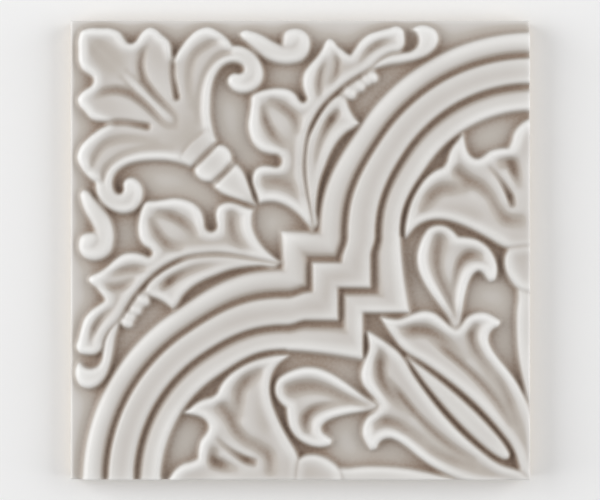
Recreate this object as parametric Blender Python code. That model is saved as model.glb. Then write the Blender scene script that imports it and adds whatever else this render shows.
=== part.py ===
"""A square wall tile of glazed earthenware with a moulded quarter of a quatrefoil on its face.

The tile lies on its flat back, face up. X runs to the right and Y towards the top edge of the face.
The face is drawn in millimetres from its outer corner, the one at low X and high Y: the first number
of a point runs right from there, the second one down. The drawing is the same on both sides of the
diagonal that starts at that corner, so each form is drawn once, to the right of the diagonal.
"""

import bmesh
import bpy
import numpy as np
from mathutils.geometry import delaunay_2d_cdt

# Driving dimensions of the tile, in metres
SIDE = 0.152
JOINT = 0.0012
BODY = 0.0088
ARRIS = 0.0008
MM = 0.001

# The same in the drawing's millimetres
FACE = SIDE / MM
JOINT_LINE = FACE + JOINT / MM / 2
ROUNDED = ARRIS / MM

# Heights above the sunk ground and widths of the moulded forms, in millimetres
RIDGE_HEIGHT = 2.9
GROOVE_HEIGHT = 1.1
LIP_HEIGHT = 2.9
FLOOR_HEIGHT = 2.2
WALL_WIDTH = 1.1
LIP_ROLL = 1.5
BEAD_HEIGHT = 2.3

# How finely the drawing is cut into straight edges, in millimetres
OUTLINE_STEP = 1.9
VEIN_STEP = 2.6
ARC_STEP = 3.6
EDGE_STEP = 12.0
MERGE = 0.06

GLAZE_COLOUR = (0.66, 0.62, 0.57, 1.0)
GLAZE_ROUGHNESS = 0.28

# The quatrefoil's moulded band: three ridges between an outer foot, two grooves and an inner foot
LOBE_DOWN = 71.7
LOBE_RADII_UPWARD = (67.9, 60.4, 50.3, 42.2)
LOBE_RADII_SIDEWAYS = (71.3, 63.0, 52.4, 43.6)
LOBE_SWELLS_FROM, LOBE_SWELLS_OVER = 34.0, 26.0
STEP_CORNER = 70.2
STEP_WIDTH = 11.1
STEP_LEVELS = (0.0, 8.3, 18.9, 27.6)
TOE_FLARE = 2.8
BAND_LINES = (0, 0.16, 0.5, 0.84, 1, 1.14, 1.5, 1.86, 2, 2.16, 2.5, 2.84, 3)

# Each outline is a list of smooth runs; two runs meet in a point or a cusp
PALMETTE = [
    [(3.8, 3.8), (6, 3), (10, 2.8), (13.8, 3.1), (16, 4.4), (17.6, 6.6), (19.2, 8.6), (20.6, 9.2)],
    [(20.6, 9.2), (22.3, 8), (23, 6), (24.2, 3.9), (26.6, 2.7), (28.4, 3.4), (30, 5), (32.4, 6.9),
     (33.3, 9), (34.6, 11.6)],
    [(34.6, 11.6), (36.2, 9.4), (38.6, 6.4), (42, 4.1), (46, 3.2), (49.6, 4.3), (52, 6.4), (53.2, 8.4)],
    [(53.2, 8.4), (57, 8.6), (60.6, 10.4), (63.2, 14), (64, 18), (62.8, 21.5), (60, 23.6), (56.3, 24),
     (53, 22.6), (51.4, 20), (52, 17.8), (54, 16.9), (56, 17.1), (57.3, 16.2), (56.8, 14.8), (55, 13.9),
     (52.8, 13.7), (50.4, 15), (48.5, 17.8), (47.2, 22), (46.8, 27), (47, 32), (47.8, 36.5), (48.8, 40)],
    [(48.8, 40), (44.4, 44.4)],
]
RING = [
    [(45.2, 45.2), (49.6, 41.2)],
    [(49.6, 41.2), (52.4, 42.8), (53.8, 45.6)],
    [(53.8, 45.6), (49.4, 49.4)],
]
CONE = [
    [(51.3, 51.3), (54.4, 48.1)],
    [(54.4, 48.1), (56.2, 50.3), (57.6, 53), (58.8, 56), (59.9, 59), (61.4, 61.4)],
]
SPEAR = [
    [(111.4, 111.4), (115.8, 114), (120, 117.2), (125.4, 121.6), (130.2, 126), (135, 130.8), (139, 135),
     (142, 138.4), (144.4, 141.6), (145.2, 143.6), (144.9, 144.9)],
]
MIDRIB = [
    (97, 17.2), (94.5, 19), (92, 20.8), (89.3, 23.1), (86.2, 26.1), (83.6, 29), (81.4, 32.3), (79.8, 35.5),
    (78.6, 39), (77.8, 43.5), (77.3, 48), (77.4, 52), (78.2, 57), (79.2, 63), (80.3, 70),
]
ACANTHUS = [
    [(80.3, 70), (78, 66.8), (75.3, 63.9), (72, 61.5), (68.5, 60.1), (65.2, 59.9), (62.7, 60.4)],
    [(62.7, 60.4), (61.9, 58), (60.8, 55.5), (60.1, 53), (60.3, 50.8), (61.6, 48.9), (63.6, 48), (66, 48),
     (68.4, 48.3), (69.8, 47.5), (70.1, 46.2), (69, 44.8), (66.5, 44.1), (63.2, 43), (60.6, 40.4),
     (59.1, 37.2), (58.8, 33.5), (59.4, 30), (59.7, 27.2), (60.3, 25), (62.2, 23.8), (65.5, 23), (69, 22.7),
     (72, 23.2), (74.3, 24.6), (75.6, 26.7), (77, 27.4), (78.2, 26.2)],
    [(78.2, 26.2), (77.1, 23), (76.6, 20.2), (77, 17.4), (78.5, 14.9), (81, 12.2), (83, 9.4), (84.2, 6.9),
     (85.4, 6), (86.8, 6.6), (88.2, 8.3), (90.2, 10), (91.6, 11.8), (93.2, 12.8)],
    [(93.2, 12.8), (94.5, 9.6), (96.2, 6.8), (98.8, 4.5), (102, 3.2), (105.5, 2.4), (108.4, 2.1), (110, 3.2),
     (110.8, 5.8), (110.4, 8.3), (108.8, 9.7), (106, 10.5), (103.6, 11.7), (101.4, 13.6), (99.3, 15.6),
     (97, 17.2)],
    MIDRIB,
]
TWIG = [
    [(80.3, 69.5), (79, 57), (78.2, 50), (78.7, 43.5), (79.5, 39), (80.8, 35.5), (82.5, 32.3), (84.6, 29.3),
     (86.8, 27), (87.8, 25.2)],
    [(87.8, 25.2), (89.5, 25.6), (91, 26.8), (91.6, 29), (93, 31.6), (94.9, 34.2)],
    [(94.9, 34.2), (92.6, 35), (90.6, 36.4), (88.8, 39.2), (86.8, 43.4), (84.8, 48), (83, 53), (81.6, 58),
     (80.8, 63), (80.3, 69.5)],
]
STALK = [
    [(97, 17.6), (101, 16), (105, 14.8), (110, 14), (114.5, 13), (118.2, 11.5), (120.8, 9), (121.7, 6.2),
     (120.9, 3.8), (118.6, 2.3), (115.8, 2), (113.3, 3)],
    [(113.3, 3), (114.7, 4.4), (115.3, 6.6), (114.6, 8.9), (112.6, 10.4), (109.5, 10.9), (106, 11.4),
     (102.5, 13), (99.5, 15.2), (97, 17.6)],
]
SCROLL = [
    [(56.2, 4), (59, 3.7), (62.5, 5), (65.5, 6.9), (67.8, 8.5), (69.6, 8.6)],
    [(69.6, 8.6), (69.7, 6), (70.8, 3.9), (73.3, 3), (76.3, 3.3), (78.5, 5), (79.4, 7.8), (78.8, 10.6),
     (76.8, 12.8), (73.4, 13.8), (69, 13.7), (65, 12.3), (61.4, 9.7), (58.5, 6.9), (56.2, 4)],
]
TREFOIL = [
    [(127.8, 100.5), (125, 97.6), (121.8, 94.2), (118.6, 90), (115.9, 85.8), (114.3, 81.6), (113.9, 77.8),
     (114.8, 73.8), (116.6, 70.6), (118.6, 68.4), (121.3, 67.5), (124.3, 67.9), (126.6, 69.5), (128.3, 71.4)],
    [(128.3, 71.4), (131, 71.4), (134.5, 72), (137.8, 74), (140.3, 77.2), (141.4, 80.8), (141.3, 83.6),
     (140.2, 85.5), (138.6, 85.9)],
    [(138.6, 85.9), (137.4, 84.4), (136.3, 83), (134.9, 82.5), (133.3, 83.3), (131.9, 85.4), (130.8, 88.4),
     (130.1, 92), (129.7, 96), (127.8, 100.5)],
]
LEAF = [
    [(102.8, 98.4), (105.5, 98.6), (108.5, 98.8), (111.5, 97.9), (114.5, 96.8), (117.3, 96.4), (120.2, 97.2),
     (123, 99.4), (125.3, 101.4), (127.4, 102.3)],
    [(127.4, 102.3), (129.4, 101), (131.2, 98.7), (133.8, 97.3), (136.8, 97), (139.6, 98.1), (141.9, 99.6)],
    [(141.9, 99.6), (141.4, 101), (139.6, 101.8), (138.2, 103.4), (137.8, 105.8), (138.6, 108.6),
     (140.4, 111.6), (143.3, 115.2), (146.3, 119.2), (149, 123.6), (151, 127.8), (152.6, 132), (154, 138),
     (155, 146)],
    [(155, 146), (158, 158), (149, 149)],
    [(149, 149), (148.2, 146.3), (147.4, 143.6), (145.8, 140.4), (143.2, 136.9), (140, 133), (135.4, 128),
     (130.4, 123.4), (125.2, 119.2), (120.2, 115.5), (116, 112.7), (112, 110.4), (109.4, 108.2), (107, 105),
     (104.6, 101.4), (102.8, 98.4)],
]
# Half of each form that the next tile completes, up to the middle of the joint
TULIP = [
    [(JOINT_LINE, 32.6), (150.3, 33.6), (148.2, 35.4), (146.8, 37.6), (146.1, 40), (145, 42.4)],
    [(145, 42.4), (142, 42.8), (139, 43.7), (136.8, 45.4), (134.7, 46.4), (132.6, 45.6), (131.3, 43.2),
     (130.7, 40.4), (130, 37.6)],
    [(130, 37.6), (128.6, 39.6), (126.8, 41.7), (125.6, 44.3), (125.2, 47), (124.3, 49.3)],
    [(124.3, 49.3), (121, 50), (118.3, 52), (115.3, 55.8), (113, 60), (111.5, 64.5), (110.8, 69),
     (110.9, 71.6)],
    [(110.9, 71.6), (112.4, 69.8), (114.3, 67.6), (117.3, 66), (121, 65.2), (125.5, 65.8), (130, 67.3),
     (134.5, 69.4), (139, 71.9), (142.5, 73.9), (145, 75), (149, 75.2), (JOINT_LINE, 75.2)],
]
KNOB = [
    [(JOINT_LINE, 75.8), (148, 75.6), (145, 75.9), (144, 77.6), (143.9, 80.5), (144.8, 83.8), (146.4, 86.6),
     (148, 88.6), (JOINT_LINE, 90)],
]
STEM = [
    [(JOINT_LINE, 84), (148.4, 86), (148.2, 92), (147.7, 97), (147.7, 104), (148.3, 111), (149.4, 117.5),
     (150.6, 123), (151.6, 128), (JOINT_LINE, 133)],
]

# The hollows cut into the leaves: the points of each one's middle line, and its depth at each point
HOLLOWS = [
    ([(25.2, 8.2), (23.6, 11.5), (23.4, 15.5), (24.8, 19.8), (27.5, 23.5), (30.5, 27.3), (33.3, 30.6)],
     (0.2, 0.9, 1.1, 1.0, 0.9, 0.6, 0)),
    ([(34.7, 11), (33.6, 14.5), (33.5, 18.5), (34.2, 22.5), (35.3, 25.5), (36, 26.8)],
     (1.2, 1.2, 1.0, 0.9, 0.6, 0)),
    ([(47, 6.2), (42.7, 8), (40, 11.5), (38.8, 16), (38.6, 21)], (0.3, 0.6, 0.6, 0.5, 0.1)),
    ([(65, 52.5), (69, 52), (73, 53.5), (76, 56.5)], (0.5, 0.7, 0.5, 0.1)),
    ([(65.5, 26.5), (69, 28), (72.5, 30), (74.8, 33.5)], (0.5, 0.7, 0.7, 0.3)),
    ([(62.8, 30.5), (63.6, 34.5), (66, 37.5), (69.5, 39.8)], (0.4, 0.8, 0.8, 0.3)),
    ([(83.5, 14), (82.3, 18), (82, 22), (82.6, 24.5)], (0.2, 0.8, 0.7, 0.1)),
    ([(105.5, 5.4), (102.5, 7.3), (99.5, 9.8), (96.5, 12.5)], (0.3, 0.8, 0.7, 0.2)),
    ([(88.8, 31.2), (86.5, 32.8), (84.6, 35.6), (82.8, 39), (81.4, 43)], (1.2, 1.2, 0.8, 0.5, 0)),
    ([(128, 49.5), (130, 52), (134, 54.6), (137.5, 57.5), (140.5, 61.5), (143.5, 64.5), (147.5, 65.7)],
     (0.4, 0.9, 0.9, 0.8, 0.8, 0.7, 0.3)),
    ([(116.6, 62), (118.6, 58.5), (121.5, 56), (125, 54.6), (128.5, 53.6)], (0.3, 0.6, 0.6, 0.5, 0.2)),
    ([(139.2, 49), (141.6, 52), (143.8, 55.5), (145.3, 58.3), (146.1, 60)], (0.3, 0.7, 1.1, 1.6, 1.2)),
    ([(144.5, 46.8), (146.5, 47.5), (147.5, 50.5), (148.8, 54)], (0.8, 1.2, 0.9, 0.3)),
    ([(123.2, 72.6), (121, 74.6), (120, 78), (120.8, 82.5), (122.8, 87.5), (125, 92.5), (126.5, 97)],
     (0.4, 0.9, 0.7, 0.6, 0.6, 0.5, 0.2)),
    ([(134, 77), (131, 76.8), (128.8, 78.8), (127.4, 82), (126.6, 86)], (0.4, 1.0, 1.0, 0.6, 0.1)),
    ([(107.5, 101.6), (112, 102.2), (117, 102.2), (121, 103.4), (125, 105.6), (128.5, 108)],
     (0.2, 0.7, 0.9, 0.7, 0.5, 0.2)),
    ([(119, 106.3), (127, 112), (136, 119.6), (142, 127), (145, 135)], (0, 0.6, 0.6, 0.5, 0.2)),
    ([(133.3, 101.8), (132.2, 104.3), (132.8, 107.3), (134.6, 110.2), (137, 113)],
     (0.4, 0.9, 0.8, 0.5, 0.2)),
]
HOLLOW_WIDTH = 1.3

# The string of beads that leaves the twig: middle and radius of each
BEADS = ((91.6, 24.1, 2.0), (94.2, 22.2, 1.8), (96.9, 20.2, 1.8), (99.7, 18.2, 1.9))
BEAD_SIDES = 8


def curve(points, step):
    """A smooth line through the points (cubic pieces whose slopes are those of their neighbours)."""
    p = np.asarray(points, float)
    spans = np.linalg.norm(np.diff(p, axis=0), axis=1)
    knots = np.concatenate([[0], np.cumsum(spans)])
    places = np.linspace(0, knots[-1], max(2, int(np.ceil(knots[-1] / step)) + 1))
    if len(p) == 2:
        return p[0] + (p[1] - p[0]) * (places / knots[-1])[:, None]
    slopes = np.diff(p, axis=0) / spans[:, None]
    tangents = np.empty_like(p)
    weights = (spans[1:, None], spans[:-1, None])
    tangents[1:-1] = (slopes[:-1] * weights[0] + slopes[1:] * weights[1]) / (weights[0] + weights[1])
    tangents[0] = 1.5 * slopes[0] - 0.5 * tangents[1]
    tangents[-1] = 1.5 * slopes[-1] - 0.5 * tangents[-2]
    i = np.clip(np.searchsorted(knots, places, "right") - 1, 0, len(spans) - 1)
    u = ((places - knots[i]) / spans[i])[:, None]
    span = spans[i][:, None]
    return (
        (1 + 2 * u) * (1 - u) ** 2 * p[i]
        + u * (1 - u) ** 2 * span * tangents[i]
        + u * u * (3 - 2 * u) * p[i + 1]
        + u * u * (u - 1) * span * tangents[i + 1]
    )


def outline(runs):
    """The runs one after another, as one line that keeps the points where they meet."""
    lines = [curve(run, OUTLINE_STEP) for run in runs]
    return np.concatenate([line[:-1] for line in lines] + [lines[-1][-1:]])


def closed(runs):
    """A form that lies wholly on one side of the diagonal: its outline ends where it began."""
    return outline(runs)[:-1]


def over_diagonal(runs):
    """A form that lies on the diagonal, from the outline of its right half."""
    half = outline(runs)
    return np.concatenate([half, half[::-1, ::-1][1:-1]])


def over_joint(runs):
    """A form that the next tile completes, from the outline of the half on this one."""
    half = outline(runs)
    other = half[::-1].copy()
    other[:, 0] = 2 * JOINT_LINE - other[:, 0]
    return np.concatenate([half, other[1:-1]])


def ease(t):
    """0 to 1 with a level start and end."""
    t = np.clip(t, 0, 1)
    return t * t * (3 - 2 * t)


def measure(points, line, is_loop):
    """For each point: how far the line is, how far along it the nearest place lies, and if it is inside."""
    q = np.concatenate([line, line[:1]]) if is_loop else line
    start, run = q[:-1], np.diff(q, axis=0)
    length = np.linalg.norm(run, axis=1)
    x, y = points[:, :1], points[:, 1:]
    t = ((x - start[:, 0]) * run[:, 0] + (y - start[:, 1]) * run[:, 1]) / length**2
    t = np.clip(t, 0, 1)
    gap = np.hypot(x - start[:, 0] - t * run[:, 0], y - start[:, 1] - t * run[:, 1])
    nearest = gap.argmin(axis=1)
    rows = np.arange(len(points))
    before = np.concatenate([[0], np.cumsum(length)])
    along = (before[nearest] + t[rows, nearest] * length[nearest]) / before[-1]
    rising = (start[:, 1] <= y) != (start[:, 1] + run[:, 1] <= y)
    crossing = start[:, 0] + (y - start[:, 1]) / np.where(run[:, 1] == 0, 1, run[:, 1]) * run[:, 0]
    inside = (rising & (x < crossing)).sum(axis=1) % 2 == 1
    return gap[rows, nearest], along, inside & is_loop


def inset(loop, depth):
    """The line that runs inside a closed outline at a fixed distance from it."""
    along = np.roll(loop, -1, axis=0) - np.roll(loop, 1, axis=0)
    along /= np.linalg.norm(along, axis=1)[:, None]
    inward = np.stack([-along[:, 1], along[:, 0]], axis=1)
    area = (loop[:, 0] * np.roll(loop[:, 1], -1) - np.roll(loop[:, 0], -1) * loop[:, 1]).sum()
    line = loop + inward * depth * np.sign(area)
    gap, _, inside = measure(line, loop, True)
    return line[inside & (gap > 0.93 * depth)]


def swell(angle):
    """How far the lobe has swelled at this angle above its sideways radius, in degrees: 1 is fully."""
    return ease((LOBE_SWELLS_FROM - angle) / LOBE_SWELLS_OVER)


def toe(down):
    """How much the innermost ridge widens as it comes down to its corner."""
    return TOE_FLARE * ease((down - 74) / 22)


def band_line(level):
    """One line of the band, from the right edge over the upper lobe to the corner on the diagonal."""
    up = np.interp(level, range(4), LOBE_RADII_UPWARD)
    side = np.interp(level, range(4), LOBE_RADII_SIDEWAYS)
    angles = np.linspace(95, 0, int(np.radians(95) * up / ARC_STEP) + 2)
    radii = up + (side - up) * swell(angles)
    x = JOINT_LINE - radii * np.cos(np.radians(angles))
    y = LOBE_DOWN - radii * np.sin(np.radians(angles))
    corner = STEP_CORNER + np.interp(level, range(4), STEP_LEVELS)
    downs = np.linspace(LOBE_DOWN, corner, 4)[1:] if corner > LOBE_DOWN + ARC_STEP else np.array([corner])
    widening = toe(downs) * np.clip(level - 2, 0, 1)
    wall = np.stack([corner + STEP_WIDTH + widening, downs], axis=1)
    line = np.concatenate([np.stack([x, y], axis=1), wall, [(corner, corner)]])
    return line[line[:, 1] <= corner + 1e-9]


def band_level(a, b):
    """Where a point lies across the band: 0 at the outer foot, 1 and 2 in the grooves, 3 at the inner foot."""
    upper = b < LOBE_DOWN
    x, y = JOINT_LINE - a, LOBE_DOWN - b
    radius = np.hypot(x, y)
    share = swell(np.degrees(np.arctan2(np.maximum(y, 0), np.abs(x))))
    edges = [up + (side - up) * share for up, side in zip(LOBE_RADII_UPWARD, LOBE_RADII_SIDEWAYS)]
    reach = np.maximum(a - STEP_CORNER - STEP_WIDTH, np.minimum(a, b) - STEP_CORNER)
    steps = [np.zeros_like(a) + step for step in STEP_LEVELS]
    steps[3] = steps[3] + toe(b) * (a > 104)
    level = np.where(upper, edges[0] - radius, reach) / 8
    for k in range(3):
        in_lobe = k + (edges[k] - radius) / (edges[k] - edges[k + 1])
        in_steps = k + (reach - steps[k]) / (steps[k + 1] - steps[k])
        level = np.where(upper & (radius <= edges[k]), in_lobe, level)
        level = np.where(~upper & (reach >= steps[k]), in_steps, level)
    return level


def band_height(a, b):
    """Three rounded ridges; the outer and inner foot stand on the ground, the grooves above it."""
    level = band_level(a, b)
    height = np.zeros_like(a)
    for k in range(3):
        across = np.clip(2 * (level - k) - 1, -1, 1)
        at_foot = ((k == 0) & (across < 0)) | ((k == 2) & (across > 0))
        base = np.where(at_foot, 0, GROOVE_HEIGHT)
        rounded = (1 - np.abs(across) ** 3.2) ** 0.6
        ridge = base + (RIDGE_HEIGHT - base) * rounded
        height = np.where((level > k) & (level < k + 1), ridge, height)
    return height


def forms():
    """Every raised form of the right half, with its lip's and its floor's height, in the order they overlap."""
    return [
        (closed(STALK), 2.7, 2.3),
        (closed(TWIG), 2.6, 2.1),
        (closed(ACANTHUS), LIP_HEIGHT, FLOOR_HEIGHT),
        (closed(SCROLL), 2.7, 2.4),
        (over_diagonal(PALMETTE), LIP_HEIGHT, FLOOR_HEIGHT),
        (over_diagonal(CONE), 2.8, 2.7),
        (over_diagonal(RING), LIP_HEIGHT, 2.8),
        (over_joint(STEM), 2.4, 2.2),
        (over_joint(TULIP), LIP_HEIGHT, FLOOR_HEIGHT),
        (over_joint(KNOB), LIP_HEIGHT, 2.6),
        (closed(TREFOIL), LIP_HEIGHT, FLOOR_HEIGHT),
        (closed(LEAF), LIP_HEIGHT, FLOOR_HEIGHT),
        (over_diagonal(SPEAR), 2.7, 2.6),
    ]


def face_height(points, shapes):
    """Height of the face above its ground at each point of the drawing."""
    half = np.stack([points.max(axis=1), points.min(axis=1)], axis=1)
    a, b = half[:, 0], half[:, 1]
    height = band_height(a, b)
    for x, y, radius in BEADS:
        share = np.clip(1 - (np.hypot(a - x, b - y) / radius) ** 2, 0, 1)
        height = np.maximum(height, BEAD_HEIGHT * np.sqrt(share))
    for loop, lip, floor in shapes:
        gap, _, inside = measure(half, loop, True)
        climb = np.sqrt(1 - (1 - np.clip(gap / WALL_WIDTH, 0, 1)) ** 2)
        sunk = np.clip(gap - WALL_WIDTH, 0, None) / LIP_ROLL
        top = floor + (lip - floor) * np.exp(-(sunk**2))
        height = np.where(inside, top * climb, height)
    for line, depths in HOLLOWS:
        spans = np.linalg.norm(np.diff(np.asarray(line, float), axis=0), axis=1)
        places = np.concatenate([[0], np.cumsum(spans)]) / spans.sum()
        gap, along, _ = measure(half, curve(line, VEIN_STEP), False)
        cut = np.interp(along, places, depths) * np.exp(-((gap / HOLLOW_WIDTH) ** 2))
        height = height - cut * ease(height / WALL_WIDTH)
    edge = np.minimum(points, FACE - points).min(axis=1)
    return height - ROUNDED * (1 - np.sqrt(1 - (1 - np.clip(edge / ROUNDED, 0, 1)) ** 2))


def drawing_lines(shapes):
    """Every line that the face's triangles follow, as (points, is_loop)."""
    lines = []
    for loop, _, _ in shapes:
        lines.append((loop, True))
        lip = inset(loop, WALL_WIDTH)
        if len(lip) > 3:
            lines.append((lip, True))
    lines += [(band_line(level), False) for level in BAND_LINES]
    lines += [(curve(line, VEIN_STEP), False) for line, _ in HOLLOWS]
    turns = np.linspace(0, 2 * np.pi, BEAD_SIDES, endpoint=False)
    for x, y, radius in BEADS:
        lines.append((np.stack([x + radius * np.cos(turns), y + radius * np.sin(turns)], axis=1), True))
        lines.append((np.array([(x, y)]), False))
    return lines + [(line[:, ::-1], is_loop) for line, is_loop in lines]


def square(margin):
    """A square line at that distance inside the face's edge, with points along its sides."""
    low, high = margin, FACE - margin
    run = np.linspace(low, high, int(FACE / EDGE_STEP) + 1)[:-1]
    back = run[::-1] + (run[1] - run[0])
    sides = [(run, low), (high, run), (back, high), (low, back)]
    return np.concatenate([np.stack(np.broadcast_arrays(x, y), axis=1) for x, y in sides])


def triangulated(lines):
    """Triangles that follow all the lines, inside the square of the face."""
    points, edges = [], []
    for line, is_loop in lines:
        first = len(points)
        points += [tuple(p) for p in line]
        edges += [(first + k, first + k + 1) for k in range(len(line) - 1)]
        if is_loop:
            edges.append((len(points) - 1, first))
    corners, _, faces = delaunay_2d_cdt(points, edges, [], 0, MERGE)[:3]
    corners = np.array([tuple(c) for c in corners])
    faces = np.array(faces)
    middle = corners[faces].mean(axis=1)
    return corners, faces[((middle > 0) & (middle < FACE)).all(axis=1)]


def tile_mesh():
    """The relief as the upper face, four straight sides and a flat back, closed."""
    shapes = forms()
    lines = drawing_lines(shapes) + [(square(0), True), (square(ROUNDED), True)]
    corners, faces = triangulated(lines)
    height = face_height(corners, shapes)
    mesh = bmesh.new()
    used = np.unique(faces)
    verts = {}
    for k in used:
        a, b = np.clip(corners[k], 0, FACE)
        place = ((a - FACE / 2) * MM, (FACE / 2 - b) * MM, BODY + height[k] * MM)
        verts[k] = mesh.verts.new(place)
    for face in faces:
        mesh.faces.new([verts[k] for k in face])
    rim = [edge for edge in mesh.edges if len(edge.link_faces) == 1]
    close_down(mesh, {vert for edge in rim for vert in edge.verts})
    bmesh.ops.triangulate(mesh, faces=[face for face in mesh.faces if len(face.verts) > 3])
    bmesh.ops.recalc_face_normals(mesh, faces=mesh.faces)
    return mesh


def close_down(mesh, rim):
    """Adds the four sides, each one face under its edge of the relief, and the back."""
    half = SIDE / 2
    feet = [mesh.verts.new((x * half, y * half, 0)) for x, y in ((-1, -1), (1, -1), (1, 1), (-1, 1))]
    for first, second in zip(feet, feet[1:] + feet[:1]):
        along = (second.co - first.co).normalized()
        outward = along.cross((0, 0, 1))
        on_side = [vert for vert in rim if abs(vert.co.dot(outward) - half) < MERGE * MM]
        on_side.sort(key=lambda vert: vert.co.dot(along), reverse=True)
        mesh.faces.new([first, second] + on_side)
    mesh.faces.new(feet)


def glaze():
    """The warm grey glaze as one plain colour."""
    material = bpy.data.materials.new("warm_grey_glaze")
    material.use_nodes = True
    shader = material.node_tree.nodes["Principled BSDF"]
    shader.inputs["Base Color"].default_value = GLAZE_COLOUR
    shader.inputs["Roughness"].default_value = GLAZE_ROUGHNESS
    shader.inputs["Metallic"].default_value = 0.0
    return material


def main():
    for item in list(bpy.data.objects):
        bpy.data.objects.remove(item)
    mesh = tile_mesh()
    data = bpy.data.meshes.new("tile")
    mesh.to_mesh(data)
    mesh.free()
    tile = bpy.data.objects.new("tile", data)
    tile.data.materials.append(glaze())
    bpy.context.scene.collection.objects.link(tile)


main()
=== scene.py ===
# %% [markdown]
# # A glazed relief tile
#
# The object is one square wall tile of pressed and glazed earthenware. Its face carries a moulded
# drawing: three ridges that are a quarter of a quatrefoil, leaves inside them, and a palmette and
# acanthus sprigs in the outer corner. The imported model already has the main shape of the relief.
# Here the same drawing is worked out again on a much finer grid, and it gets its glaze, its bare clay
# back, a floor, lights and a camera.
#
# The script starts by loading the imported model and keeping its parts by name.

# %% Load the imported tile
import math

import bpy
import numpy as np
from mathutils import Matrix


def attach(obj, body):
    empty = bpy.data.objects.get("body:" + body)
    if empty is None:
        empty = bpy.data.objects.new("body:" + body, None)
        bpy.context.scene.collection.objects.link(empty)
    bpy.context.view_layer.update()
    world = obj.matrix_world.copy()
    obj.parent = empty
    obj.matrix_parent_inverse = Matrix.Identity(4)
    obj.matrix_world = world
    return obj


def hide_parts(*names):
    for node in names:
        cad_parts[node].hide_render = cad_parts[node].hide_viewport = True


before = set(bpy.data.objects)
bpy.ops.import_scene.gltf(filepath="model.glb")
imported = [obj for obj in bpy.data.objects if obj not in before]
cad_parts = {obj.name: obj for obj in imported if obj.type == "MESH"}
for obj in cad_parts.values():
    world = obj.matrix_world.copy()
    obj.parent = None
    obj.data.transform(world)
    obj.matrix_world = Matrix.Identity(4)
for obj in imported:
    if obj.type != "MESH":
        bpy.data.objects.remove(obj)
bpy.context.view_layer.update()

# %% [markdown]
# ## The size of the tile
#
# A potter would draw the mould in millimetres, so the drawing is kept in millimetres too, and only the
# last step turns it into Blender's metres. A point of the drawing is (a, b): a millimetres to the right
# of the face's outer corner and b millimetres down from it. The drawing is the same on both sides of
# the diagonal that starts there, so each form is drawn once, to the right of the diagonal.

# %% Sizes
MM = 0.001
FACE = 152.0  # side of the square face
TURN_LINE = 152.6  # the pattern turns round here, a little past the face's edge
BODY = 8.8  # thickness up to the sunk ground
ARRIS = 0.8  # radius of the rounded edge of the face
TOP = 2.9  # height of the relief above the ground
print("face", FACE, "mm, body", BODY, "mm, relief up to", TOP, "mm above the sunk ground")

# %% [markdown]
# ## A smooth line through points
#
# Every outline and every vein starts as a few points that a smooth line passes through. A spline with
# automatic handles would swing out beside long gaps between points. A cubic piece between each two
# points, whose slope at a point is a weighted mean of the slopes on its two sides, stays close to the
# points, which is what a modelling tool pushed along clay does.

# %% Smooth lines
def curve(points, step=0.7):
    """A smooth line through the points, cut into pieces of about the step's length.

    Between two points at the share u it is p0 (1 + 2u)(1 - u)^2 + m0 u (1 - u)^2
    + p1 u^2 (3 - 2u) + m1 u^2 (u - 1), where m0 and m1 are the slopes times the distance. The
    slope at an end is 1.5 times that of its span, less half of the slope at the next point.
    """
    p = np.asarray(points, float)
    spans = np.linalg.norm(np.diff(p, axis=0), axis=1)
    knots = np.concatenate([[0], np.cumsum(spans)])
    places = np.linspace(0, knots[-1], max(2, int(np.ceil(knots[-1] / step)) + 1))
    if len(p) == 2:
        return p[0] + (p[1] - p[0]) * (places / knots[-1])[:, None]
    slopes = np.diff(p, axis=0) / spans[:, None]
    before, after = spans[:-1, None], spans[1:, None]
    tangents = np.empty_like(p)
    tangents[1:-1] = (slopes[:-1] * after + slopes[1:] * before) / (after + before)
    tangents[0] = 1.5 * slopes[0] - 0.5 * tangents[1]
    tangents[-1] = 1.5 * slopes[-1] - 0.5 * tangents[-2]
    i = np.clip(np.searchsorted(knots, places, "right") - 1, 0, len(spans) - 1)
    u = ((places - knots[i]) / spans[i])[:, None]
    reach = spans[i][:, None]
    start = (1 + 2 * u) * (1 - u) ** 2 * p[i] + u * (1 - u) ** 2 * reach * tangents[i]
    end = u * u * (3 - 2 * u) * p[i + 1] + u * u * (u - 1) * reach * tangents[i + 1]
    return start + end


print("a line through 3 points has", len(curve([(0, 0), (4, 3), (9, 3)])), "points")

# %% [markdown]
# ## Closed outlines
#
# A leaf's outline is a few smooth runs that meet in points and notches, so it is kept as a list of
# runs. Three kinds of form lie on the tile. Some lie on one side of the diagonal. Some cross it, and
# some run out over the face's edge, where the pattern turns round, and both are drawn as a half.

# %% Outlines from runs
def outline(runs):
    """The runs one after another as one line."""
    lines = [curve(run) for run in runs]
    return np.concatenate([line[:-1] for line in lines] + [lines[-1][-1:]])


def beside_diagonal(runs):
    """The outline of a form that ends where it began."""
    return outline(runs)[:-1]


def over_diagonal(runs):
    """The half outline, and back along its mirror image: a and b change places."""
    half = outline(runs)
    return np.concatenate([half, half[::-1, ::-1][1:-1]])


def over_edge(runs):
    """The half outline, and back along its image in the turning line: a becomes 2 x line - a."""
    half = outline(runs)
    other = half[::-1].copy()
    other[:, 0] = 2 * TURN_LINE - other[:, 0]
    return np.concatenate([half, other[1:-1]])


half_square = [[(0, 0), (4, 0)], [(4, 0), (4, 4)]]
print("half a square over the diagonal becomes", len(over_diagonal(half_square)), "points")

# %% [markdown]
# ## The clay as a grid of heights
#
# The relief has no overhangs, so one height for each place on the face describes it all. A grid of
# heights is easy to press shapes into, to smooth as the glaze does, and to turn into a mesh. It runs
# 12 mm past the two outer edges, and its last row and column lie on the line where the pattern turns
# round, just past the other two.

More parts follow.
